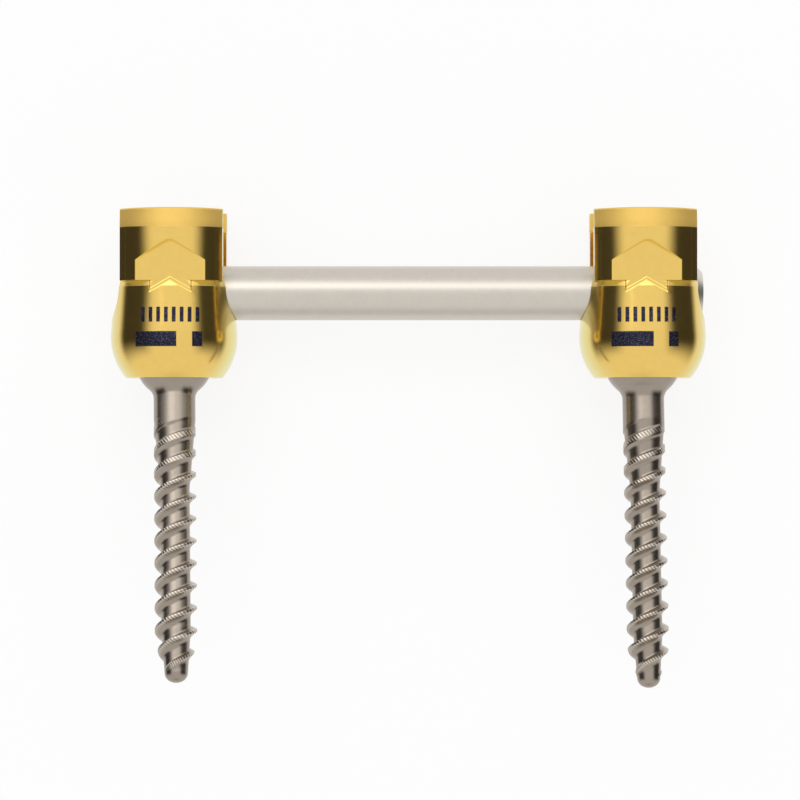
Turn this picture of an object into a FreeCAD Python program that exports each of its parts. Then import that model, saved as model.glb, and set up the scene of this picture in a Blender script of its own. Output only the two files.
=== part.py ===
import FreeCAD, Part
import math
import os
import re
import Sketcher

# Two polyaxial pedicle screws joined by one spinal rod, in millimetres, lying on the backs of their heads.
# X runs along the rod, +Y from the bone screws to the open ends of the heads, +Z up.
# The origin is the middle of the bounding box's lowest face.

doc = FreeCAD.newDocument("SpinalConstruct")
sheet = doc.addObject("Spreadsheet::Sheet", "Sizes")

# Driving dimensions: name, value, what it measures
SIZES = [
    ("head_spacing", 47.55, "between the axes of the two heads"),
    ("rod_radius", 2.75, "spinal rod"),
    ("rod_past_left", 5.3, "rod beyond the left head's axis"),
    ("rod_past_right", 6.0, "rod beyond the right head's axis"),
    ("rod_end_chamfer", 0.6, "on both ends of the rod"),
    ("rod_level", 8.62, "rod axis above the underside of a head"),
    ("rod_play", 0.07, "rod to the sides of its channel"),
    ("cradle_play", 0.03, "rod to the groove of the saddle"),
    ("ball_radius", 3.95, "spherical head of the bone screw"),
    ("ball_level", 1.8, "ball centre above the underside of a head"),
    ("ball_play", 0.04, "ball to its seat and to the saddle"),
    ("ball_flat", 3.0, "flat on top of the ball, above its centre"),
    ("head_height", 16.9, "head, underside to top"),
    ("barrel_radius", 6.9, "upper part of the head, front and back"),
    ("barrel_flats", 10.28, "upper part of the head, across its flat sides"),
    ("band_height", 1.9, "tapered band at the top of the head"),
    ("band_angle", 6.0, "taper of that band in degrees"),
    ("band_blend", 6.0, "round between barrel and band"),
    ("rim_round", 0.22, "outer edge of the top"),
    ("ledge_level", 9.67, "underside of the barrel"),
    ("shoulder_radius", 6.06, "lower part of the head, just under the barrel"),
    ("shoulder_bevel", 0.12, "bevel of that shoulder, inwards"),
    ("shoulder_band", 0.55, "bevel of that shoulder, downwards"),
    ("bulb_radius", 6.42, "round foot of the lower part"),
    ("bulb_level", 4.15, "height of its widest place"),
    ("mouth_radius", 3.75, "opening in the underside"),
    ("mouth_bevel", 0.13, "bevel of that opening"),
    ("plug_radius", 4.2, "set screw over its thread"),
    ("plug_play", 0.05, "set screw to the threaded bore"),
    ("clamp_play", 0.02, "set screw to the rod"),
    ("plug_height", 4.3, "set screw"),
    ("plug_chamfer", 0.3, "both edges of the set screw"),
    ("thread_level", 9.3, "lower end of the threaded bore"),
    ("lead_in", 0.25, "bevel at the mouth of the threaded bore"),
    ("pocket_floor", 5.7, "flat floor of the instrument pocket from the axis"),
    ("pocket_flats", 6.92, "across the pocket's hexagon"),
    ("pocket_draft", 9.0, "draft of the pocket's walls in degrees"),
    ("pocket_round", 0.5, "top corner of the pocket"),
    ("notch_width", 4.3, "narrow part of the pocket below the shoulder"),
    ("notch_depth", 1.28, "its corners below the shoulder"),
    ("saddle_play", 0.05, "saddle to the bore around it"),
    ("saddle_foot", 1.9, "underside of the saddle above the ball centre"),
    ("saddle_top", 8.1, "top of the saddle above the underside of a head"),
    ("saddle_hole", 1.7, "driver passage through the saddle"),
    ("screw_reach", 33.3, "ball centre to the tip"),
    ("neck_radius", 2.12, "smooth neck under the ball"),
    ("neck_fillet", 1.5, "between ball and neck"),
    ("taper_start", 6.0, "below the ball centre, the core leaves the neck"),
    ("taper_end", 13.5, "below the ball centre, the core is at its thinnest"),
    ("core_radius", 1.46, "between the threads"),
    ("tip_taper_start", 28.0, "below the ball centre, the core thins to the nose"),
    ("nose_level", 32.25, "below the ball centre, the nose begins"),
    ("nose_radius", 1.16, "root of the nose"),
    ("tip_shoulder", 0.95, "where the nose turns from steep to blunt"),
    ("tip_shoulder_level", 32.85, "that place below the ball centre"),
    ("tip_radius", 0.5, "flat end of the nose"),
    ("crest_radius", 2.11, "over the thread"),
    ("crest_width", 0.16, "flat on top of the thread"),
    ("flank_length", 0.35, "along the axis from crest to core"),
    ("thread_pitch", 2.29, "from one thread to the next; two starts"),
    ("thread_start", 32.66, "crest below the ball centre where the thread begins"),
    ("thread_rise", 26.2, "length of the thread along the axis"),
    ("crest_fade", 29.3, "below the ball centre, the crest begins to fall"),
    ("plug_socket", 1.75, "driver socket of the set screw"),
    ("plug_lobe", 0.5, "lobes of that socket"),
    ("plug_socket_depth", 3.0, "driver socket of the set screw"),
    ("ball_socket", 1.2, "driver socket of the ball"),
    ("ball_lobe", 0.36, "lobes of that socket"),
    ("ball_socket_depth", 2.3, "driver socket of the ball"),
    ("left_tilt", 15.5, "left bone screw, tip raised, in degrees"),
    ("left_lean", 1.5, "left bone screw, tip towards +X, in degrees"),
    ("left_turn", 0.0, "left bone screw about its own axis, in degrees"),
    ("right_tilt", 9.5, "right bone screw, tip raised, in degrees"),
    ("right_lean", 0.4, "right bone screw, tip towards +X, in degrees"),
    ("right_turn", -61.0, "right bone screw about its own axis, in degrees"),
]
for row, (alias, number, note) in enumerate(SIZES, start=1):
    sheet.set(f"A{row}", note)
    sheet.set(f"B{row}", str(number))
    sheet.setAlias(f"B{row}", alias)
doc.recompute()


def size(alias):
    """The number that the sheet holds under this name."""
    return float(getattr(sheet, alias))


def spell(formula):
    """A formula in the sheet's names, with the sheet named before each."""
    names = {alias for alias, _, _ in SIZES}
    return re.sub(
        r"[a-z_]+", lambda word: "Sizes." * (word.group() in names) + word.group(), formula
    )


def origin_plane(body, role):
    """One of the body's own origin planes or axes."""
    return next(f for f in body.Origin.OriginFeatures if f.Role == role)


def new_body(label):
    body = doc.addObject("PartDesign::Body", label)
    body.Label = label
    return body


def new_sketch(body, name, role, offset=None):
    """An empty sketch on one of the body's origin planes, moved out along its normal by a formula."""
    sketch = body.newObject("Sketcher::SketchObject", name)
    sketch.AttachmentSupport = [(origin_plane(body, role), "")]
    sketch.MapMode = "FlatFace"
    if offset:
        sketch.setExpression("AttachmentOffset.Base.z", spell(offset))
    return sketch


def bind(sketch, kind, places, formula):
    """One driving dimension of a sketch, tied to the sheet."""
    number = float(sketch.evalExpression(spell(formula)))
    if number < 0 and kind in ("DistanceX", "DistanceY"):
        places = places[2:] + places[:2]
        formula = f"-({formula})"
    index = sketch.addConstraint(Sketcher.Constraint(kind, *places, abs(number)))
    sketch.setExpression(f"Constraints[{index}]", spell(formula))


def outline(sketch, corners, arcs=None):
    """A closed outline through corners given as pairs of formulas.

    arcs maps a side's number to its radius and the side of its centre, 1 for left of the way round and -1 for right.
    """
    arcs = arcs or {}
    points = [
        FreeCAD.Vector(
            float(sketch.evalExpression(spell(x))), float(sketch.evalExpression(spell(y))), 0
        )
        for x, y in corners
    ]
    ends = []
    for i, start in enumerate(points):
        finish = points[(i + 1) % len(points)]
        if i not in arcs:
            side = sketch.addGeometry(Part.LineSegment(start, finish), False)
            ends.append((side, 1, 2))
            continue
        radius_formula, centre_side = arcs[i]
        radius = float(sketch.evalExpression(spell(radius_formula)))
        chord = finish - start
        left = FreeCAD.Vector(-chord.y, chord.x, 0).normalize() * centre_side
        rise = math.sqrt(radius**2 - chord.Length**2 / 4)
        middle = (start + finish) * 0.5 + left * (rise - radius)
        side = sketch.addGeometry(Part.Arc(start, middle, finish), False)
        ends.append((side, 1, 2) if centre_side > 0 else (side, 2, 1))
    for i, (x, y) in enumerate(corners):
        side, first, _ = ends[i]
        before, _, last = ends[i - 1]
        sketch.addConstraint(Sketcher.Constraint("Coincident", before, last, side, first))
        bind(sketch, "DistanceX", (-1, 1, side, first), x)
        bind(sketch, "DistanceY", (-1, 1, side, first), y)
    for i, (radius_formula, _) in arcs.items():
        bind(sketch, "Radius", (ends[i][0],), radius_formula)


def circle(sketch, x, y, radius):
    """A circle whose centre and radius are formulas."""
    centre = FreeCAD.Vector(
        float(sketch.evalExpression(spell(x))), float(sketch.evalExpression(spell(y))), 0
    )
    number = float(sketch.evalExpression(spell(radius)))
    index = sketch.addGeometry(Part.Circle(centre, FreeCAD.Vector(0, 0, 1), number), False)
    bind(sketch, "DistanceX", (-1, 1, index, 3), x)
    bind(sketch, "DistanceY", (-1, 1, index, 3), y)
    bind(sketch, "Radius", (index,), radius)


def revolve(body, sketch, name):
    turned = body.newObject("PartDesign::Revolution", name)
    turned.Profile = sketch
    turned.ReferenceAxis = (sketch, ["V_Axis"])
    turned.Angle = 360
    doc.recompute()
    return turned


def cut_through(body, sketch, name):
    """A pocket through everything, both ways from its sketch."""
    before = body.Shape.Volume
    pocket = body.newObject("PartDesign::Pocket", name)
    pocket.Profile = sketch
    pocket.Type = "ThroughAll"
    pocket.Midplane = True
    doc.recompute()
    assert body.Shape.Volume < before, f"{name} cuts nothing"
    return pocket


def lobed_socket(body, name, level, radius, lobe, depth):
    """A six-lobed driver socket sunk from a level of the body along its axis."""
    before = body.Shape.Volume
    core_sketch = new_sketch(body, name + "_core_sketch", "XY_Plane", level)
    circle(core_sketch, "0", "0", radius)
    core = body.newObject("PartDesign::Pocket", name + "_core")
    core.Profile = core_sketch
    core.setExpression("Length", spell(depth))
    doc.recompute()
    lobe_sketch = new_sketch(body, name + "_lobe_sketch", "XY_Plane", level)
    circle(lobe_sketch, radius, "0", lobe)
    lobes = body.newObject("PartDesign::Pocket", name + "_lobe")
    lobes.Profile = lobe_sketch
    lobes.setExpression("Length", spell(depth))
    doc.recompute()
    ring = body.newObject("PartDesign::PolarPattern", name + "_lobes")
    ring.Originals = [lobes]
    ring.Axis = (lobe_sketch, ["N_Axis"])
    ring.Angle = 360
    ring.Occurrences = 6
    body.Tip = ring
    doc.recompute()
    assert body.Shape.Volume < before, f"{name} cuts nothing"


# Head: a barrel with a rod channel and threaded bore, on a bulb that holds the ball
BORE = "(ball_radius + ball_play)"
THREADED_BORE = "(plug_radius + plug_play)"
FOOT = "sqrt(bulb_radius^2 - bulb_level^2)"
SHOULDER = "(ledge_level - shoulder_band)"
# The cone between bulb and shoulder leaves the bulb where it grazes it
RISE = f"({SHOULDER} - bulb_level)"
SPAN = f"(shoulder_radius^2 + {RISE}^2)"
GRAZE = f"(bulb_radius * sqrt({SPAN} - bulb_radius^2))"
CONE_FOOT = f"((bulb_radius^2 * shoulder_radius + {GRAZE} * {RISE}) / {SPAN})"
CONE_LEVEL = f"(bulb_level + (bulb_radius^2 * {RISE} - {GRAZE} * shoulder_radius) / {SPAN})"
# The band at the top
BAND_START = "(barrel_radius - band_blend * (1 - cos(band_angle)))"
BAND_LEVEL = "(head_height - band_height + band_blend * sin(band_angle))"
BAND_END = f"({BAND_START} - (head_height - rim_round - {BAND_LEVEL}) * tan(band_angle))"


def make_head(label):
    body = new_body(label)
    turned = new_sketch(body, "section", "XZ_Plane")
    mouth = "(mouth_radius - mouth_bevel)"
    corners = [
        ("mouth_radius", "0"),
        (FOOT, "0"),
        (CONE_FOOT, CONE_LEVEL),
        ("shoulder_radius", SHOULDER),
        ("shoulder_radius - shoulder_bevel", "ledge_level"),
        ("barrel_radius", "ledge_level"),
        ("barrel_radius", "head_height - band_height"),
        (BAND_START, BAND_LEVEL),
        (BAND_END, "head_height - rim_round"),
        (f"{BAND_END} - rim_round", "head_height"),
        (f"{THREADED_BORE} + lead_in", "head_height"),
        (THREADED_BORE, "head_height - lead_in"),
        (THREADED_BORE, "thread_level"),
        (BORE, "thread_level"),
        (BORE, "ball_level"),
        (mouth, f"ball_level - sqrt({BORE}^2 - {mouth}^2)"),
    ]
    arcs = {
        1: ("bulb_radius", 1),
        6: ("band_blend", 1),
        8: ("rim_round", 1),
        14: (BORE, -1),
    }
    outline(turned, corners, arcs)
    revolve(body, turned, "turned_form")

    sides = new_sketch(body, "sides", "XY_Plane", "ledge_level")
    for way in ("", "-"):
        corners = [
            (f"{way}barrel_flats / 2", "-barrel_radius"),
            (f"{way}barrel_radius", "-barrel_radius"),
            (f"{way}barrel_radius", "barrel_radius"),
            (f"{way}barrel_flats / 2", "barrel_radius"),
        ]
        outline(sides, corners)
    before = body.Shape.Volume
    flats = body.newObject("PartDesign::Pocket", "flat_sides")
    flats.Profile = sides
    flats.Reversed = True
    flats.setExpression("Length", spell("head_height - ledge_level"))
    doc.recompute()
    assert body.Shape.Volume < before, "the flat sides cut nothing"

    channel = new_sketch(body, "channel_section", "YZ_Plane")
    side = "(rod_radius + rod_play)"
    corners = [
        (f"-{side}", "rod_level"),
        ("0", f"rod_level - {side}"),
        (side, "rod_level"),
        (side, "head_height + rod_radius"),
        (f"-{side}", "head_height + rod_radius"),
    ]
    outline(channel, corners, {0: (side, 1), 1: (side, 1)})
    cut_through(body, channel, "rod_channel")

    face = new_sketch(body, "pocket_outline", "XZ_Plane", "pocket_floor")
    half = "(pocket_flats / 2)"
    rise = "(pocket_flats / (2 * sqrt(3)))"
    top = f"(ledge_level + 2 * {rise} - pocket_round / 2)"
    corners = [
        ("0", "ledge_level"),
        ("notch_width / 2", "ledge_level - notch_depth"),
        ("notch_width / 2", "ledge_level"),
        (half, "ledge_level"),
        (half, f"ledge_level + {rise}"),
        ("pocket_round * sqrt(3) / 2", top),
        ("-pocket_round * sqrt(3) / 2", top),
        (f"-{half}", f"ledge_level + {rise}"),
        (f"-{half}", "ledge_level"),
        ("-notch_width / 2", "ledge_level"),
        ("-notch_width / 2", "ledge_level - notch_depth"),
    ]
    outline(face, corners, {5: ("pocket_round * sqrt(3)", 1)})
    before = body.Shape.Volume
    pocket = body.newObject("PartDesign::Pocket", "instrument_pocket")
    pocket.Profile = face
    pocket.Reversed = True
    pocket.setExpression("Length", spell("barrel_radius - pocket_floor"))
    pocket.setExpression("TaperAngle", spell("pocket_draft"))
    doc.recompute()
    pair = body.newObject("PartDesign::Mirrored", "pocket_pair")
    pair.Originals = [pocket]
    pair.MirrorPlane = (origin_plane(body, "XZ_Plane"), [""])
    body.Tip = pair
    doc.recompute()
    assert body.Shape.Volume < before, "the pocket cuts nothing"
    return body


# Bone screw: ball, smooth neck, and a core that carries a two-start thread; its own origin is the ball centre
def make_bone_screw(label):
    body = new_body(label)
    blank = new_sketch(body, "blank_section", "XZ_Plane")
    blend = "(ball_radius + neck_fillet)"
    offset = "(neck_radius + neck_fillet)"
    reach = f"sqrt({blend}^2 - {offset}^2)"
    corners = [
        ("0", "-screw_reach"),
        ("nose_radius", "-screw_reach"),
        ("nose_radius", "-nose_level"),
        ("core_radius", "-tip_taper_start"),
        ("core_radius", "-taper_end"),
        ("neck_radius", "-taper_start"),
        ("neck_radius", f"-{reach}"),
        (f"ball_radius * {offset} / {blend}", f"-ball_radius * {reach} / {blend}"),
        ("sqrt(ball_radius^2 - ball_flat^2)", "ball_flat"),
        ("0", "ball_flat"),
    ]
    outline(blank, corners, {6: ("neck_fillet", -1), 7: ("ball_radius", 1)})
    revolve(body, blank, "blank")

    tooth = new_sketch(body, "tooth_section", "XZ_Plane")
    root = "(nose_radius - crest_width)"
    base = f"(flank_length * (crest_radius - {root}) / (crest_radius - core_radius))"
    corners = [
        (root, f"-thread_start + crest_width / 2 + {base}"),
        (root, f"-thread_start - crest_width / 2 - {base}"),
        ("crest_radius", "-thread_start - crest_width / 2"),
        ("crest_radius", "-thread_start + crest_width / 2"),
    ]
    outline(tooth, corners)
    before = body.Shape.Volume
    thread = body.newObject("PartDesign::AdditiveHelix", "first_thread")
    thread.Profile = tooth
    thread.ReferenceAxis = (tooth, ["V_Axis"])
    thread.Mode = "pitch-height-angle"
    thread.setExpression("Pitch", spell("2 * thread_pitch"))
    thread.setExpression("Height", spell("thread_rise"))
    doc.recompute()
    starts = body.newObject("PartDesign::PolarPattern", "both_threads")
    starts.Originals = [thread]
    starts.Axis = (tooth, ["V_Axis"])
    starts.Angle = 360
    starts.Occurrences = 2
    body.Tip = starts
    doc.recompute()
    assert body.Shape.Volume > before, "the thread adds nothing"

    nose = new_sketch(body, "nose_section", "XZ_Plane")
    corners = [
        ("0", "-screw_reach - ball_radius"),
        ("ball_radius", "-screw_reach - ball_radius"),
        ("ball_radius", "-crest_fade"),
        ("crest_radius", "-crest_fade"),
        ("nose_radius", "-nose_level"),
        ("tip_shoulder", "-tip_shoulder_level"),
        ("tip_radius", "-screw_reach"),
        ("0", "-screw_reach"),
    ]
    outline(nose, corners)
    before = body.Shape.Volume
    trim = body.newObject("PartDesign::Groove", "nose")
    trim.Profile = nose
    trim.ReferenceAxis = (nose, ["V_Axis"])
    trim.Angle = 360
    doc.recompute()
    assert body.Shape.Volume < before, "the nose cuts nothing"
    lobed_socket(body, "driver_socket", "ball_flat", "ball_socket", "ball_lobe", "ball_socket_depth")
    return body


# Saddle: sits on the ball and cradles the rod; its own origin is the underside of the head
def make_saddle(label):
    body = new_body(label)
    ring = new_sketch(body, "section", "XZ_Plane")
    outer = f"({BORE} - saddle_play)"
    foot = "(ball_level + saddle_foot)"
    corners = [
        (f"sqrt({BORE}^2 - saddle_foot^2)", foot),
        (outer, foot),
        (outer, "saddle_top"),
        ("saddle_hole", "saddle_top"),
        ("saddle_hole", f"ball_level + sqrt({BORE}^2 - saddle_hole^2)"),
    ]
    outline(ring, corners, {4: (BORE, -1)})
    revolve(body, ring, "turned_form")
    groove = new_sketch(body, "groove_section", "YZ_Plane")
    circle(groove, "0", "rod_level", "rod_radius + cradle_play")
    cut_through(body, groove, "rod_groove")
    return body


# Set screw: a threaded plug that clamps the rod; its own origin is the middle of its underside
def make_set_screw(label):
    body = new_body(label)
    plug = new_sketch(body, "section", "XZ_Plane")
    corners = [
        ("0", "0"),
        ("plug_radius - plug_chamfer", "0"),
        ("plug_radius", "plug_chamfer"),
        ("plug_radius", "plug_height - plug_chamfer"),
        ("plug_radius - plug_chamfer", "plug_height"),
        ("0", "plug_height"),
    ]
    outline(plug, corners)
    revolve(body, plug, "turned_form")
    lobed_socket(body, "driver_socket", "plug_height", "plug_socket", "plug_lobe", "plug_socket_depth")
    return body


# Rod: its own axis is X, and its own origin lies half-way between the heads
def make_rod(label):
    body = new_body(label)
    rod = new_sketch(body, "section", "XZ_Plane")
    left = "(-head_spacing / 2 - rod_past_left)"
    right = "(head_spacing / 2 + rod_past_right)"
    corners = [
        (left, "0"),
        (right, "0"),
        (right, "rod_radius - rod_end_chamfer"),
        (f"{right} - rod_end_chamfer", "rod_radius"),
        (f"{left} + rod_end_chamfer", "rod_radius"),
        (left, "rod_radius - rod_end_chamfer"),
    ]
    outline(rod, corners)
    bar = body.newObject("PartDesign::Revolution", "bar")
    bar.Profile = rod
    bar.ReferenceAxis = (rod, ["H_Axis"])
    bar.Angle = 360
    doc.recompute()
    return body


# Where things lie: the heads rest on the backs of their barrels, and the whole is centred on the origin
def drop(side):
    """How far a tilted bone screw reaches below its ball centre."""
    upright = f"(cos({side}_tilt) * cos({side}_lean))"
    return f"(screw_reach * {upright} + tip_radius * sqrt(1 - {upright}^2))"


UNDERSIDE = f"((max({drop('left')}; {drop('right')}) - ball_level - head_height) / 2)"


def lay(body, x, level, turn=None):
    """Lays a body along +Y, at a level above the undersides of the heads."""
    along_y = FreeCAD.Rotation(FreeCAD.Vector(1, 0, 0), -90)
    body.Placement.Rotation = turn.multiply(along_y) if turn else along_y
    body.setExpression("Placement.Base.x", spell(x))
    body.setExpression("Placement.Base.y", spell(f"{UNDERSIDE} + {level}"))
    body.setExpression("Placement.Base.z", spell("barrel_radius"))


def screw_turn(side):
    """A bone screw's pose: turned about its own axis, tip raised, then leaned along the rod."""
    own = FreeCAD.Rotation(FreeCAD.Vector(0, 1, 0), size(f"{side}_turn"))
    raised = FreeCAD.Rotation(FreeCAD.Vector(1, 0, 0), -size(f"{side}_tilt"))
    leaned = FreeCAD.Rotation(FreeCAD.Vector(0, 0, 1), size(f"{side}_lean"))
    return leaned.multiply(raised).multiply(own)


pieces = []
for side, x in (("left", "-head_spacing / 2"), ("right", "head_spacing / 2")):
    head = make_head(f"tulip_head_{side}")
    lay(head, x, "0")
    screw = make_bone_screw(f"bone_screw_{side}")
    lay(screw, x, "ball_level", screw_turn(side))
    saddle = make_saddle(f"pressure_saddle_{side}")
    lay(saddle, x, "0")
    plug = make_set_screw(f"set_screw_{side}")
    lay(plug, x, "rod_level + rod_radius + clamp_play")
    pieces += [head, screw, saddle, plug]
rod = make_rod("spinal_rod")
lay(rod, "0", "rod_level")
pieces.append(rod)

doc.recompute()
failed = [o.Name for o in doc.Objects if {"Invalid", "Error"} & set(o.State)]
assert not failed, f"failed objects: {failed}"
for piece in pieces:
    assert not piece.Shape.isNull() and piece.Shape.isValid(), f"{piece.Label} is not a valid solid"
    assert len(piece.Shape.Solids) == 1, f"{piece.Label} is not one solid"

os.makedirs("parts", exist_ok=True)
for piece in pieces:
    piece.Shape.exportStep(os.path.join("parts", piece.Label + ".step"))
    print(piece.Label, round(piece.Shape.Volume, 2), "cubic mm")
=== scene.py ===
import math

import bmesh
import bpy
import numpy as np
from mathutils import Euler, Matrix, Vector


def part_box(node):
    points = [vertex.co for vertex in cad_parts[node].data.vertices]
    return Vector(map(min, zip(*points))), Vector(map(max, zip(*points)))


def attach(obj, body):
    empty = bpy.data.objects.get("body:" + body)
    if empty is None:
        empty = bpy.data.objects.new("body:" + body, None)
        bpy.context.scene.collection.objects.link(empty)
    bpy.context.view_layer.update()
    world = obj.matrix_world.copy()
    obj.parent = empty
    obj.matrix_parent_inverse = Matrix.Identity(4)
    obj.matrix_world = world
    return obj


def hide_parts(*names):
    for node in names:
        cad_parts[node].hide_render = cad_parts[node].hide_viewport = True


# Two polyaxial pedicle screws on a spinal rod, seen straight down, in the part's own frame
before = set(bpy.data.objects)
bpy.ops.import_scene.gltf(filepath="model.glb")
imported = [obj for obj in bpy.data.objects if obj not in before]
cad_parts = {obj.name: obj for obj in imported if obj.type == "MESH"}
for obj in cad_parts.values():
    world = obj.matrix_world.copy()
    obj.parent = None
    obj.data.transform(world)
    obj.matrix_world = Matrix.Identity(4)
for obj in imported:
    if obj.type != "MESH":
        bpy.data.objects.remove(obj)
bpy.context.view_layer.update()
mm = 0.001
print("frame loaded")

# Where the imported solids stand
sides = ("left", "right")
headBox = {side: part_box(f"tulip_head_{side}") for side in sides}
axisX = {side: (low.x + high.x) / 2 for side, (low, high) in headBox.items()}
undersideY = headBox["left"][0].y
axisZ = (headBox["left"][0].z + headBox["left"][1].z) / 2


# Node building
def addNode(tree, kind, settings=None, inputs=None):
    node = tree.nodes.new(kind)
    for key, value in (settings or {}).items():
        setattr(node, key, value)
    for key, value in (inputs or {}).items():
        if isinstance(value, bpy.types.NodeSocket):
            tree.links.new(value, node.inputs[key])
        else:
            node.inputs[key].default_value = value
    return node


def mathNode(tree, operation, *values):
    return addNode(tree, "ShaderNodeMath", {"operation": operation}, dict(enumerate(values))).outputs[0]


# A step between two limits, soft or straight
def step(tree, value, low, high, toLow=0.0, toHigh=1.0, kind="SMOOTHSTEP"):
    inputs = {"Value": value, "From Min": low, "From Max": high, "To Min": toLow, "To Max": toHigh}
    return addNode(tree, "ShaderNodeMapRange", {"interpolation_type": kind}, inputs).outputs["Result"]


def mixColour(tree, factor, first, second):
    node = addNode(tree, "ShaderNodeMix", {"data_type": "RGBA"}, {"Factor": factor})
    for index, value in ((6, first), (7, second)):
        if isinstance(value, bpy.types.NodeSocket):
            tree.links.new(value, node.inputs[index])
        else:
            node.inputs[index].default_value = value
    return node.outputs[2]


def objectPlace(tree):
    return addNode(tree, "ShaderNodeTexCoord").outputs["Object"]


# Shared effect: a fine pebbled surface with cloudy patches, as colour, roughness and normal
blastedRule = {
    "inputs": {"Roughness": 0.4, "Grain": 0.09, "Mottle": 0.1, "Unevenness": 0.05, "Relief": 0.1},
    "cloudScale": 0.13, "grainDetail": 2.0, "cloudDetail": 3.0, "grainShare": 0.6, "pebble": 0.02,
}


def makeBlasted():
    k = blastedRule
    group = bpy.data.node_groups.new("blastedSurface", "ShaderNodeTree")
    group.interface.new_socket("Colour", in_out="INPUT", socket_type="NodeSocketColor")
    for label, value in k["inputs"].items():
        group.interface.new_socket(label, in_out="INPUT", socket_type="NodeSocketFloat").default_value = value
    for label, kind in (("Colour", "Color"), ("Roughness", "Float"), ("Normal", "Vector")):
        group.interface.new_socket(label, in_out="OUTPUT", socket_type=f"NodeSocket{kind}")
    start, end = group.nodes.new("NodeGroupInput"), group.nodes.new("NodeGroupOutput")
    place = objectPlace(group)
    scale = mathNode(group, "DIVIDE", 1000.0, start.outputs["Grain"])
    grain = addNode(group, "ShaderNodeTexNoise", None,
                    {"Vector": place, "Scale": scale, "Detail": k["grainDetail"]})
    coarse = mathNode(group, "MULTIPLY", scale, k["cloudScale"])
    cloud = addNode(group, "ShaderNodeTexNoise", None,
                    {"Vector": place, "Scale": coarse, "Detail": k["cloudDetail"]})
    both = mathNode(group, "ADD", mathNode(group, "MULTIPLY", grain.outputs["Fac"], k["grainShare"]),
                    mathNode(group, "MULTIPLY", cloud.outputs["Fac"], 1 - k["grainShare"]))
    uneven = mathNode(group, "SUBTRACT", both, 0.5)
    shade = mathNode(group, "MULTIPLY_ADD", uneven, start.outputs["Mottle"], 1.0)
    colour = addNode(group, "ShaderNodeVectorMath", {"operation": "SCALE"},
                     {0: start.outputs["Colour"], "Scale": shade}).outputs[0]
    patches = mathNode(group, "SUBTRACT", cloud.outputs["Fac"], 0.5)
    rough = mathNode(group, "MULTIPLY_ADD", patches, start.outputs["Unevenness"], start.outputs["Roughness"])
    bump = addNode(group, "ShaderNodeBump", None,
                   {"Strength": start.outputs["Relief"], "Distance": k["pebble"] * mm,
                    "Height": grain.outputs["Fac"]})
    group.links.new(colour, end.inputs["Colour"])
    group.links.new(rough, end.inputs["Roughness"])
    group.links.new(bump.outputs["Normal"], end.inputs["Normal"])
    return group


blasted = makeBlasted()


# A metal from one dictionary; "detail" may change its colour, roughness and normal
def metal(name, settings, detail=None):
    material = bpy.data.materials.new(name)
    material.use_nodes = True
    tree = material.node_tree
    shader = tree.nodes["Principled BSDF"]
    shader.inputs["Metallic"].default_value = 1.0
    surface = addNode(tree, "ShaderNodeGroup", {"node_tree": blasted},
                      {"Colour": settings["colour"], "Roughness": settings["roughness"],
                       "Grain": settings["grain"], "Mottle": settings["mottle"],
                       "Unevenness": settings["unevenness"], "Relief": settings["relief"]})
    look = [surface.outputs[label] for label in ("Colour", "Roughness", "Normal")]
    if detail:
        look = detail(tree, *look)
    for value, label in zip(look, ("Base Color", "Roughness", "Normal")):
        tree.links.new(value, shader.inputs[label])
    return material


def wear(obj, material):
    obj.data.materials.clear()
    obj.data.materials.append(material)


# Heads: gold titanium with a painted sheen on its sides, a turned band at the top, and dark etched strokes and bars
# on the front.
# Sizes in millimetres, sideways from the head's axis and upwards from its underside
gold = {
    "colour": (0.86, 0.59, 0.16, 1), "roughness": 0.15, "grain": 0.1, "mottle": 0.16, "unevenness": 0.03,
    "relief": 0.12,
    # Painted sheen: the paler, greener colour for the head's sides, and where it starts and ends
    "sheenColour": (0.84, 0.76, 0.34, 1), "sheenFrom": 0.28, "sheenTo": 0.75,
    "etched": (0.02, 0.02, 0.035, 1), "etchedLight": (0.16, 0.15, 0.22, 1), "etchedRoughness": 0.45,
    "speckleScale": 9000.0, "speckleFrom": 0.5, "speckleTo": 0.75, "edgeSoft": 0.03, "frontFrom": 5.2,
    "rowLevel": 6.24, "rowHeight": 1.5, "rowHalf": 3.3, "strokePitch": 0.78, "strokeWidth": 0.38,
    "barLevel": 3.8, "barHeight": 1.5, "barFrom": -3.5, "barTo": 0.65, "dotFrom": 2.2, "dotTo": 3.2,
    "bandFrom": 14.85, "bandTo": 15.1, "bandRoughness": 0.55, "lineWidth": 0.05, "lineDetail": 2.0,
    "lineDepth": 0.35, "lineHeight": 0.02,
    "ledge": 9.67, "notchHalf": 2.15, "notchCorner": 8.39, "notchSlope": 30.0, "wallWidth": 0.45,
    "wallDepth": 0.17, "sideWall": 0.14,
}


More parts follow.
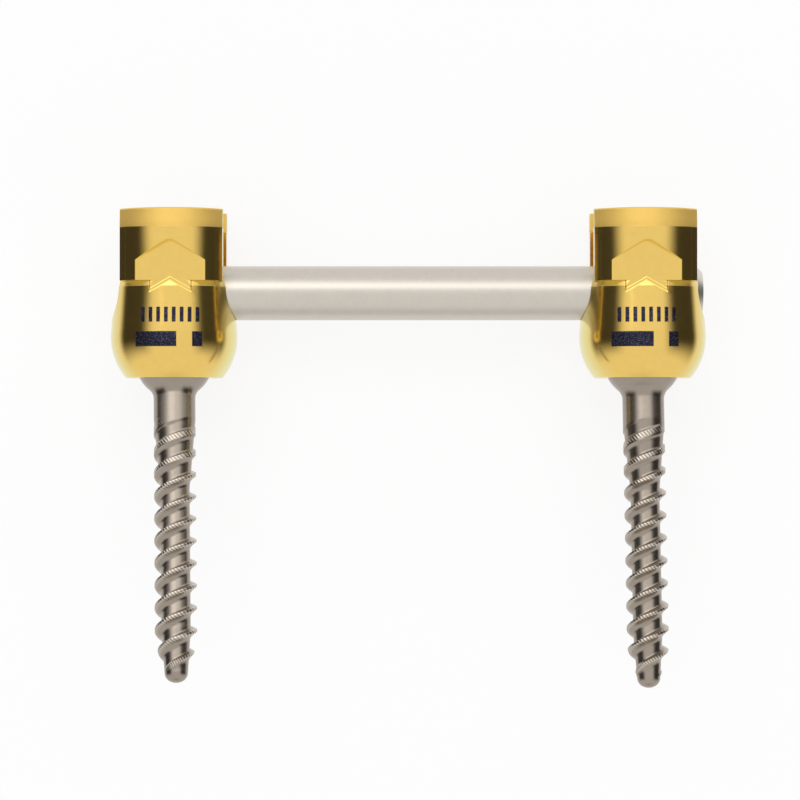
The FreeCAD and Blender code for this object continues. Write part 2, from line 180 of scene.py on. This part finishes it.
def headDetail(side):
    def detail(tree, colour, rough, normal):
        k = gold
        place = addNode(tree, "ShaderNodeSeparateXYZ", None, {"Vector": objectPlace(tree)})
        x = mathNode(tree, "MULTIPLY", mathNode(tree, "SUBTRACT", place.outputs["X"], axisX[side]), 1000.0)
        y = mathNode(tree, "MULTIPLY", mathNode(tree, "SUBTRACT", place.outputs["Y"], undersideY), 1000.0)
        front = mathNode(tree, "GREATER_THAN", place.outputs["Z"], axisZ + k["frontFrom"] * mm)

        def within(value, low, high):
            gap = mathNode(tree, "ABSOLUTE", mathNode(tree, "SUBTRACT", value, (low + high) / 2))
            half = (high - low) / 2
            return step(tree, gap, half - k["edgeSoft"], half + k["edgeSoft"], 1.0, 0.0)

        # A row of strokes, and below it a long and a short bar
        reach = (k["strokePitch"] - k["strokeWidth"]) / 2
        phase = mathNode(tree, "PINGPONG", x, k["strokePitch"] / 2)
        stroke = step(tree, phase, reach - k["edgeSoft"], reach + k["edgeSoft"])
        rowHigh = within(y, k["rowLevel"] - k["rowHeight"] / 2, k["rowLevel"] + k["rowHeight"] / 2)
        row = mathNode(tree, "MULTIPLY", mathNode(tree, "MULTIPLY", stroke, rowHigh),
                       within(x, -k["rowHalf"], k["rowHalf"]))
        barHigh = within(y, k["barLevel"] - k["barHeight"] / 2, k["barLevel"] + k["barHeight"] / 2)
        bars = mathNode(tree, "MAXIMUM", within(x, k["barFrom"], k["barTo"]), within(x, k["dotFrom"], k["dotTo"]))
        bars = mathNode(tree, "MULTIPLY", bars, barHigh)
        marks = mathNode(tree, "MULTIPLY", mathNode(tree, "MAXIMUM", row, bars), front)

        # Painted sheen: the gold turns paler and greener where the head's own normals turn away from +Z, standing
        # in for how the oxide shines at a grazing angle
        normals = addNode(tree, "ShaderNodeTexCoord").outputs["Normal"]
        facing = addNode(tree, "ShaderNodeSeparateXYZ", None, {"Vector": normals}).outputs["Z"]
        away = mathNode(tree, "SUBTRACT", 1.0, mathNode(tree, "ABSOLUTE", facing))
        colour = mixColour(tree, step(tree, away, k["sheenFrom"], k["sheenTo"]), colour, k["sheenColour"])

        speckle = addNode(tree, "ShaderNodeTexNoise", None,
                          {"Vector": objectPlace(tree), "Scale": k["speckleScale"]})
        grainy = step(tree, speckle.outputs["Fac"], k["speckleFrom"], k["speckleTo"])
        inked = mixColour(tree, grainy, k["etched"], k["etchedLight"])
        colour = mixColour(tree, marks, colour, inked)

        # Walls of the notch below the shoulder: a chevron and two short sides, as relief
        wide = mathNode(tree, "SUBTRACT", k["notchHalf"], mathNode(tree, "ABSOLUTE", x))
        slope = math.tan(math.radians(k["notchSlope"]))
        chevron = mathNode(tree, "MULTIPLY_ADD", wide, slope, k["notchCorner"])
        wall = step(tree, mathNode(tree, "SUBTRACT", y, chevron), 0.0, k["wallWidth"])
        aside = mathNode(tree, "MAXIMUM", step(tree, wide, 0.0, k["sideWall"]),
                         mathNode(tree, "GREATER_THAN", y, k["ledge"]))
        notch = mathNode(tree, "MULTIPLY", mathNode(tree, "MULTIPLY", wall, aside), front)
        sunk = addNode(tree, "ShaderNodeBump", {"invert": True},
                       {"Strength": 1.0, "Distance": k["wallDepth"] * mm, "Height": notch, "Normal": normal})
        normal = sunk.outputs["Normal"]

        # Turning lines on the band
        band = step(tree, y, k["bandFrom"], k["bandTo"])
        lines = addNode(tree, "ShaderNodeTexNoise", {"noise_dimensions": "1D"},
                        {"W": mathNode(tree, "DIVIDE", y, k["lineWidth"]), "Scale": 1.0, "Detail": k["lineDetail"]})
        turned = addNode(tree, "ShaderNodeBump", None,
                         {"Strength": mathNode(tree, "MULTIPLY", band, k["lineDepth"]),
                          "Distance": k["lineHeight"] * mm, "Height": lines.outputs["Fac"], "Normal": normal})
        rougher = mathNode(tree, "MAXIMUM", mathNode(tree, "MULTIPLY", band, k["bandRoughness"]),
                           mathNode(tree, "MULTIPLY", marks, k["etchedRoughness"]))
        return colour, mathNode(tree, "MAXIMUM", rough, rougher), turned.outputs["Normal"]

    return detail


for side in sides:
    wear(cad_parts[f"tulip_head_{side}"], metal(f"goldTitanium{side.title()}", gold, headDetail(side)))

# Rod and saddles
pale = {"colour": (0.64, 0.595, 0.53, 1), "roughness": 0.33, "grain": 0.13, "mottle": 0.25, "unevenness": 0.1,
        "relief": 0.16}
machined = {"colour": (0.50, 0.47, 0.42, 1), "roughness": 0.3, "grain": 0.08, "mottle": 0.15, "unevenness": 0.06,
            "relief": 0.05}
machinedLook = metal("machinedTitanium", machined)
wear(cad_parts["spinal_rod"], metal("paleTitanium", pale))
for side in sides:
    wear(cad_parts[f"pressure_saddle_{side}"], machinedLook)
print("looks made")


# Helical thread on a turned core, as a rule in Geometry Nodes: its axis runs along -Z, all sizes in millimetres.
# "crowding" draws the rows towards the crests; the land is the part of the tooth that carries the cutter's marks
threadRule = {"crowding": 1.4, "land": (0.45, 0.9), "landHeight": (0.03, 0.12), "merge": 0.0006}


def makeThreadTree():
    tree = bpy.data.node_groups.new("helicalThread", "GeometryNodeTree")
    tree.interface.new_socket("Geometry", in_out="INPUT", socket_type="NodeSocketGeometry")
    tree.interface.new_socket("Geometry", in_out="OUTPUT", socket_type="NodeSocketGeometry")
    for label in ("Columns", "Rings per pitch", "Starts"):
        tree.interface.new_socket(label, in_out="INPUT", socket_type="NodeSocketInt")
    for label in ("Pitch", "From", "To", "Crest at", "Crest radius", "Crest half", "Upper flank", "Lower flank",
                  "Flank power", "Core radius", "Neck radius", "Taper from", "Taper to", "Tip radius",
                  "Tip taper from", "Crest fade from", "Edge bevel"):
        tree.interface.new_socket(label, in_out="INPUT", socket_type="NodeSocketFloat")
    tree.interface.new_socket("Material", in_out="INPUT", socket_type="NodeSocketMaterial")
    start, end = tree.nodes.new("NodeGroupInput"), tree.nodes.new("NodeGroupOutput")
    k = start.outputs

    def calc(operation, *values):
        return mathNode(tree, operation, *values)

    # Rows of the grid follow the crests, closer together near them
    firstCrest = calc("FLOOR", calc("DIVIDE", calc("SUBTRACT", k["From"], k["Crest at"]), k["Pitch"]))
    lastCrest = calc("ADD", calc("CEIL", calc("DIVIDE", calc("SUBTRACT", k["To"], k["Crest at"]), k["Pitch"])),
                     k["Starts"])
    crests = calc("SUBTRACT", lastCrest, firstCrest)
    rows = calc("MULTIPLY_ADD", crests, k["Rings per pitch"], 1.0)
    grid = addNode(tree, "GeometryNodeMeshGrid", None,
                   {"Size X": 1.0, "Size Y": 1.0, "Vertices X": calc("ADD", k["Columns"], 1.0), "Vertices Y": rows})
    uv = addNode(tree, "ShaderNodeSeparateXYZ", None, {"Vector": grid.outputs["UV Map"]})
    turn, climb = uv.outputs["X"], uv.outputs["Y"]
    count = calc("MULTIPLY_ADD", climb, crests, firstCrest)
    nearest = calc("ROUND", count)
    part = calc("SUBTRACT", count, nearest)
    apart = calc("MULTIPLY", calc("ABSOLUTE", part), 2.0)
    closer = calc("MULTIPLY", calc("POWER", apart, threadRule["crowding"]), 0.5)
    closer = calc("MULTIPLY", closer, calc("SIGN", part))
    turns = calc("MULTIPLY", turn, k["Starts"])
    level = calc("MULTIPLY_ADD", calc("SUBTRACT", calc("ADD", nearest, closer), turns), k["Pitch"], k["Crest at"])
    level = calc("MINIMUM", calc("MAXIMUM", level, k["From"]), k["To"])

    # How high the tooth stands there, from 0 between the crests to 1 on them
    phase = calc("ADD", calc("DIVIDE", calc("SUBTRACT", level, k["Crest at"]), k["Pitch"]), turns)
    away = calc("MULTIPLY", calc("SUBTRACT", phase, calc("ROUND", phase)), k["Pitch"])
    below = calc("GREATER_THAN", away, 0.0)
    flank = calc("MULTIPLY_ADD", below, calc("SUBTRACT", k["Lower flank"], k["Upper flank"]), k["Upper flank"])
    slope = step(tree, calc("SUBTRACT", calc("ABSOLUTE", away), k["Crest half"]), 0.0, flank, 1.0, 0.0, "LINEAR")
    tooth = calc("POWER", slope, k["Flank power"])

    # Core, and the blank that caps the crests
    core = step(tree, level, k["Taper from"], k["Taper to"], k["Neck radius"], k["Core radius"], "LINEAR")
    tipDrop = calc("SUBTRACT", k["Core radius"], k["Tip radius"])
    thinner = step(tree, level, k["Tip taper from"], k["To"], 0.0, tipDrop, "LINEAR")
    fade = step(tree, level, k["Crest fade from"], k["To"], k["Crest radius"], k["Tip radius"], "LINEAR")
    nearEnd = calc("MINIMUM", calc("SUBTRACT", level, k["From"]), calc("SUBTRACT", k["To"], level))
    bevel = calc("ADD", calc("SUBTRACT", k["Crest radius"], k["Edge bevel"]), nearEnd)
    cap = calc("MINIMUM", fade, bevel)
    root = calc("MINIMUM", calc("SUBTRACT", core, thinner), cap)
    full = calc("SUBTRACT", cap, calc("MINIMUM", root, k["Core radius"]))
    radius = calc("MINIMUM", calc("MULTIPLY_ADD", full, tooth, root), cap)

    angle = calc("MULTIPLY", turn, 2 * math.pi)
    place = addNode(tree, "ShaderNodeCombineXYZ", None,
                    {"X": calc("MULTIPLY", calc("COSINE", angle), radius),
                     "Y": calc("MULTIPLY", calc("SINE", angle), radius), "Z": calc("MULTIPLY", level, -1.0)})
    moved = addNode(tree, "GeometryNodeSetPosition", None,
                    {"Geometry": grid.outputs["Mesh"], "Position": place.outputs["Vector"]})
    land = calc("MULTIPLY", step(tree, tooth, *threadRule["land"]),
                step(tree, calc("SUBTRACT", cap, root), *threadRule["landHeight"]))
    geometry = moved.outputs["Geometry"]
    for label, value in (("crestLand", land), ("crestTurn", turn)):
        geometry = addNode(tree, "GeometryNodeStoreNamedAttribute", {"data_type": "FLOAT", "domain": "CORNER"},
                           {"Geometry": geometry, "Name": label, "Value": value}).outputs["Geometry"]
    merged = addNode(tree, "GeometryNodeMergeByDistance", None,
                     {"Geometry": geometry, "Distance": threadRule["merge"]})
    real = addNode(tree, "GeometryNodeRealizeInstances", None, {"Geometry": merged.outputs["Geometry"]})
    worn = addNode(tree, "GeometryNodeSetMaterial", None,
                   {"Geometry": real.outputs["Geometry"], "Material": k["Material"]})
    tree.links.new(worn.outputs["Geometry"], end.inputs["Geometry"])
    return tree


threadTree = makeThreadTree()


def threadMesh(settings, material):
    holder = bpy.data.objects.new("threadHolder", bpy.data.meshes.new("threadHolder"))
    bpy.context.scene.collection.objects.link(holder)
    modifier = holder.modifiers.new("thread", "NODES")
    modifier.node_group = threadTree
    values = {**settings, "Material": material}
    for item in threadTree.interface.items_tree:
        if item.in_out == "INPUT" and item.name in values:
            modifier[item.identifier] = values[item.name]
    made = bpy.data.meshes.new_from_object(holder.evaluated_get(bpy.context.evaluated_depsgraph_get()))
    holder.modifiers.remove(modifier)
    bpy.data.objects.remove(holder)
    return made


# Turned surfaces, as rings of points round Z; a ring's last column closes it
def circleRing(radius, level, columns):
    angles = np.linspace(0, 2 * math.pi, columns + 1)[:-1]
    return np.stack([radius * np.cos(angles), radius * np.sin(angles), np.full(columns, level)], -1)


# Six-lobed driver socket, from its bevelled mouth down to the middle of its floor
socketRule = {"mouthShare": 1.06, "mouthDepth": 0.08, "middleShare": 0.02}


def socketRings(circle, lobe, level, depth, columns):
    k = socketRule
    angles = np.linspace(0, 2 * math.pi, columns + 1)[:-1]
    off = (angles + math.pi / 6) % (math.pi / 3) - math.pi / 6
    inside = lobe**2 - (circle * np.sin(off)) ** 2
    reach = circle * np.cos(off) + np.sqrt(np.maximum(inside, 0))
    edge = np.where(inside > 0, np.maximum(reach, circle), circle)
    rings = []
    for share, z in ((k["mouthShare"], level), (1.0, level - k["mouthDepth"]), (1.0, level - depth),
                     (k["middleShare"], level - depth)):
        radius = edge * share
        rings.append(np.stack([radius * np.cos(angles), radius * np.sin(angles), np.full(columns, z)], -1))
    return rings


def addRings(work, rings, capFirst=False, capLast=False):
    rows = [[work.verts.new(point) for point in ring] for ring in rings]
    for upper, lower in zip(rows, rows[1:]):
        for i in range(len(upper)):
            work.faces.new((upper[i - 1], upper[i], lower[i], lower[i - 1]))
    for row, wanted in ((rows[0], capFirst), (rows[-1], capLast)):
        if wanted:
            work.faces.new(row)


# One closed piece from the thread and the turned surfaces that meet it, put where the solid stands
joinRule = {"merge": 0.0015, "shortest": 0.0005, "sharpAngle": 38.0}


def finishPiece(name, thread, parts, matrix, material):
    k = joinRule
    work = bmesh.new()
    work.from_mesh(thread)
    for rings, capFirst, capLast in parts:
        addRings(work, rings, capFirst, capLast)
    bmesh.ops.remove_doubles(work, verts=work.verts, dist=k["merge"])
    bmesh.ops.dissolve_degenerate(work, dist=k["shortest"], edges=work.edges)
    bmesh.ops.recalc_face_normals(work, faces=work.faces)
    for edge in work.edges:
        edge.smooth = len(edge.link_faces) == 2 and edge.calc_face_angle(0) < math.radians(k["sharpAngle"])
    for face in work.faces:
        face.smooth = True
    print(name, len(work.faces), "faces,", sum(len(edge.link_faces) != 2 for edge in work.edges), "open edges")
    mesh = bpy.data.meshes.new(name)
    work.to_mesh(mesh)
    work.free()
    mesh.transform(matrix)
    obj = bpy.data.objects.new(name, mesh)
    bpy.context.scene.collection.objects.link(obj)
    wear(obj, material)
    return obj


# Bone screw: ball with its socket, neck, and a core whose twin-start thread runs out at both ends.
# "tilt" lifts the tip off the floor, "lean" turns it sideways and "turn" spins it, in degrees
boneScrew = {
    "columns": 144, "ballLevel": 1.8, "ball": 3.95, "ballFlat": 3.0, "ballRings": 40, "filletRings": 14,
    "socket": 1.2, "socketLobe": 0.36, "socketDepth": 2.3,
    "neck": 2.11, "fillet": 1.5, "nose": 1.16, "nosePower": 2.2, "noseEnd": 0.02, "reach": 33.3,
    "noseRings": (0, 0.15, 0.3, 0.45, 0.6, 0.72, 0.82, 0.9, 0.96, 0.99, 1.0),
    "thread": {
        "Columns": 144, "Rings per pitch": 22, "Starts": 2, "Pitch": 2.29, "From": 4.9, "To": 32.25,
        "Crest at": 32.66, "Crest radius": 2.11, "Crest half": 0.15, "Upper flank": 0.28, "Lower flank": 0.75,
        "Flank power": 1.9, "Core radius": 1.46, "Neck radius": 2.11, "Taper from": 6.3, "Taper to": 13.5,
        "Tip radius": 1.16, "Tip taper from": 28.0, "Crest fade from": 29.3, "Edge bevel": 0.0,
    },
    "left": {"tilt": 15.5, "lean": 1.5, "turn": 0.0},
    "right": {"tilt": 9.5, "lean": 0.4, "turn": -61.0},
}
dark = {
    "colour": (0.35, 0.30, 0.25, 1), "roughness": 0.24, "grain": 0.08, "mottle": 0.3, "unevenness": 0.05,
    "relief": 0.1,
    # Painted highlight: the pale colour that lights the crests, and how strongly it swings along the cutter's marks
    "cut": (0.72, 0.65, 0.57, 1), "millMarks": 30, "millRise": 0.45, "millDepth": 0.8, "millHeight": 0.01,
    "glintSwing": 0.45, "glintMiddle": 0.35,
}


# Slanting marks of the cutter along the crests, as relief, with a painted highlight striped along them: so many to
# a turn, and the next one up at "millRise" millimetres
def crestDetail(tree, colour, rough, normal):
    k = dark
    turn = addNode(tree, "ShaderNodeAttribute", {"attribute_name": "crestTurn"}).outputs["Fac"]
    land = addNode(tree, "ShaderNodeAttribute", {"attribute_name": "crestLand"}).outputs["Fac"]
    place = addNode(tree, "ShaderNodeSeparateXYZ", None, {"Vector": objectPlace(tree)})
    slant = mathNode(tree, "MULTIPLY", place.outputs["Y"], 2 * math.pi / (k["millRise"] * mm))
    wave = mathNode(tree, "SINE", mathNode(tree, "MULTIPLY_ADD", turn, k["millMarks"] * 2 * math.pi, slant))
    cut = addNode(tree, "ShaderNodeBump", None,
                  {"Strength": mathNode(tree, "MULTIPLY", land, k["millDepth"]),
                   "Distance": k["millHeight"] * mm, "Height": wave, "Normal": normal})
    # Painted highlight: the crests are lightened in stripes that follow the cutter's marks
    glint = mathNode(tree, "MULTIPLY_ADD", wave, k["glintSwing"], k["glintMiddle"])
    glint = mathNode(tree, "MULTIPLY", glint, land)
    return mixColour(tree, glint, colour, k["cut"]), rough, cut.outputs["Normal"]


darkLook = metal("darkTitanium", dark, crestDetail)


def boneScrewParts():
    k = boneScrew
    columns = k["columns"]
    blend, offset = k["ball"] + k["fillet"], k["neck"] + k["fillet"]
    drop = math.sqrt(blend**2 - offset**2)
    joinAngle = math.atan2(drop, offset)
    top = socketRings(k["socket"], k["socketLobe"], k["ballFlat"], k["socketDepth"], columns)[::-1]
    flatAngle = math.asin(k["ballFlat"] / k["ball"])
    for a in np.linspace(flatAngle, -joinAngle, k["ballRings"]):
        top.append(circleRing(k["ball"] * math.cos(a), k["ball"] * math.sin(a), columns))
    for a in np.linspace(joinAngle, 0, k["filletRings"])[1:]:
        top.append(circleRing(offset - k["fillet"] * math.cos(a), k["fillet"] * math.sin(a) - drop, columns))
    top.append(circleRing(k["neck"], -k["thread"]["From"], columns))
    length = k["reach"] - k["thread"]["To"]
    tip = []
    for u in k["noseRings"]:
        radius = max(k["nose"] * math.sqrt(1 - u ** k["nosePower"]), k["noseEnd"])
        tip.append(circleRing(radius, -(k["thread"]["To"] + length * u), columns))
    return [(top, True, False), (tip, False, True)]


for side in sides:
    pose = boneScrew[side]
    turned = (Euler((0, 0, math.radians(pose["lean"]))).to_matrix()
              @ Euler((math.radians(-pose["tilt"]), 0, 0)).to_matrix()
              @ Euler((0, math.radians(pose["turn"]), 0)).to_matrix()
              @ Euler((math.radians(-90), 0, 0)).to_matrix()).to_4x4()
    ballPlace = (axisX[side], undersideY + boneScrew["ballLevel"] * mm, axisZ)
    matrix = Matrix.Translation(ballPlace) @ turned @ Matrix.Scale(mm, 4)
    thread = threadMesh(boneScrew["thread"], darkLook)
    shank = finishPiece(f"boneScrew_{side}", thread, boneScrewParts(), matrix, darkLook)
    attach(shank, f"{side}_bone_screw")
    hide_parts(f"bone_screw_{side}")
print("bone screws made")

# Set screw with its own fine thread, and a six-lobed socket in its top; "level" is its foot above the underside
setScrew = {
    "columns": 120, "radius": 4.2, "height": 4.3, "bevel": 0.34, "level": 11.39,
    "socket": 1.75, "lobe": 0.5, "depth": 3.0,
    "thread": {
        "Columns": 120, "Rings per pitch": 12, "Starts": 1, "Pitch": 1.0, "From": 0.0, "To": 4.3,
        "Crest at": 0.4, "Crest radius": 4.2, "Crest half": 0.17, "Upper flank": 0.05, "Lower flank": 0.3,
        "Flank power": 1.0, "Core radius": 3.88, "Neck radius": 3.88, "Taper from": 0.0, "Taper to": 1.0,
        "Tip radius": 4.2, "Tip taper from": 4.3, "Crest fade from": 4.29, "Edge bevel": 0.34,
    },
}
for side in sides:
    k = setScrew
    edge = k["radius"] - k["bevel"]
    top = [circleRing(edge, 0, k["columns"])]
    top += socketRings(k["socket"], k["lobe"], 0, k["depth"], k["columns"])
    foot = [circleRing(edge, -k["height"], k["columns"])]
    matrix = (Matrix.Translation((axisX[side], undersideY + (k["level"] + k["height"]) * mm, axisZ))
              @ Euler((math.radians(-90), 0, 0)).to_matrix().to_4x4() @ Matrix.Scale(mm, 4))
    thread = threadMesh(k["thread"], machinedLook)
    plug = finishPiece(f"setScrew_{side}", thread, [(top, False, True), (foot, True, False)], matrix, machinedLook)
    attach(plug, f"{side}_set_screw")
    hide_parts(f"set_screw_{side}")
print("set screws made")

# Floor and light: angles in degrees, "aside" from the camera's way towards either side, "rise" towards +Y
studio = {
    "floor": (0.98, 0.98, 0.98, 1), "floorHalf": 1.2, "floorGlow": 0.84, "tent": 0.93, "dark": 0.05, "low": 0.66,
    "lowRise": (-96.0, -58.0), "aside": (33.0, 60.0, 100.0, 119.0), "rise": (-36.0, -3.0, 12.0, 34.0),
    "strip": 0.75, "stripRise": (12.0, 22.0, 30.0, 52.0), "stripAside": (15.0, 60.0), "stripEdge": 0.25,
    "key": {"energy": 0.25, "size": 0.4, "place": (-0.2, 0.4, 0.6), "aim": (0, 0, 0)},
}


def makeFloor():
    mesh = bpy.data.meshes.new("floor")
    half = studio["floorHalf"]
    mesh.from_pydata([(-half, -half, 0), (half, -half, 0), (half, half, 0), (-half, half, 0)], [], [(0, 1, 2, 3)])
    floor = bpy.data.objects.new("floor", mesh)
    bpy.context.scene.collection.objects.link(floor)
    material = bpy.data.materials.new("paleFloor")
    material.use_nodes = True
    tree = material.node_tree
    shader = tree.nodes["Principled BSDF"]
    shader.inputs["Base Color"].default_value = studio["floor"]
    shader.inputs["Roughness"].default_value = 1.0
    shader.inputs["Specular IOR Level"].default_value = 0.0
    path = addNode(tree, "ShaderNodeLightPath")
    glow = addNode(tree, "ShaderNodeEmission", None, {"Strength": 1.0})
    seen = mathNode(tree, "MULTIPLY", path.outputs["Is Camera Ray"], studio["floorGlow"])
    lit = addNode(tree, "ShaderNodeMixShader", None, {0: seen, 1: shader.outputs[0], 2: glow.outputs[0]})
    clear = addNode(tree, "ShaderNodeBsdfTransparent")
    mix = addNode(tree, "ShaderNodeMixShader", None,
                  {0: path.outputs["Is Glossy Ray"], 1: lit.outputs[0], 2: clear.outputs[0]})
    tree.links.new(mix.outputs[0], tree.nodes["Material Output"].inputs["Surface"])
    wear(floor, material)


# One between the middle two of four limits, and nought outside the outer two
def between(tree, value, limits):
    low, full, ends, high = limits
    return mathNode(tree, "MULTIPLY", step(tree, value, low, full), step(tree, value, ends, high, 1.0, 0.0))


# A white tent with a soft strip above the part and a dark gap to its left and right; plain white to the camera
def makeWorld():
    k = studio
    world = bpy.data.worlds.new("tent")
    bpy.context.scene.world = world
    world.use_nodes = True
    tree = world.node_tree
    way = addNode(tree, "ShaderNodeSeparateXYZ", None,
                  {"Vector": addNode(tree, "ShaderNodeTexCoord").outputs["Generated"]})
    x, y, z = (way.outputs[axis] for axis in "XYZ")
    aside = mathNode(tree, "DEGREES", mathNode(tree, "ARCTAN2", mathNode(tree, "ABSOLUTE", x), z))
    rise = mathNode(tree, "DEGREES", mathNode(tree, "ARCSINE", y))
    gap = mathNode(tree, "MULTIPLY", between(tree, aside, k["aside"]), between(tree, rise, k["rise"]))
    reach = step(tree, aside, *k["stripAside"], k["strip"], k["strip"] * k["stripEdge"])
    strip = mathNode(tree, "MULTIPLY", between(tree, rise, k["stripRise"]), reach)
    under = step(tree, rise, *k["lowRise"], k["low"] * k["tent"], k["tent"])
    tent = mathNode(tree, "ADD", strip, under)
    shade = mathNode(tree, "MULTIPLY", gap, mathNode(tree, "SUBTRACT", k["dark"], tent))
    seen = mathNode(tree, "ADD", tent, shade)
    camera = addNode(tree, "ShaderNodeLightPath").outputs["Is Camera Ray"]
    plain = mathNode(tree, "MULTIPLY", camera, mathNode(tree, "SUBTRACT", 1.0, seen))
    background = tree.nodes["Background"]
    tree.links.new(mathNode(tree, "ADD", seen, plain), background.inputs["Strength"])
    background.inputs["Color"].default_value = (1, 1, 1, 1)


def areaLight(name, energy, size, place, aim):
    data = bpy.data.lights.new(name, "AREA")
    data.energy, data.shape, data.size = energy, "SQUARE", size
    light = bpy.data.objects.new(name, data)
    light.location = place
    light.rotation_euler = (Vector(aim) - Vector(place)).to_track_quat("-Z", "Y").to_euler()
    bpy.context.scene.collection.objects.link(light)


makeFloor()
makeWorld()
areaLight("keyLight", **studio["key"])
print("studio made")

# Camera: straight down, with the photograph's slightly low viewpoint as a small shift
view = {
    "x": -0.845, "y": 0.4126, "distance": 322.0, "lens": 142.65, "shift": 0.055, "sensor": 36.0,
    "near": 0.01, "far": 10.0,
}
cameraData = bpy.data.cameras.new("camera")
cameraData.sensor_width = view["sensor"]
cameraData.lens = view["lens"]
cameraData.shift_y = view["shift"]
cameraData.clip_start, cameraData.clip_end = view["near"], view["far"]
camera = bpy.data.objects.new("camera", cameraData)
camera.location = (view["x"] * mm, view["y"] * mm, axisZ + view["distance"] * mm)
bpy.context.scene.collection.objects.link(camera)
bpy.context.scene.camera = camera
bpy.context.scene.view_settings.view_transform = "Standard"
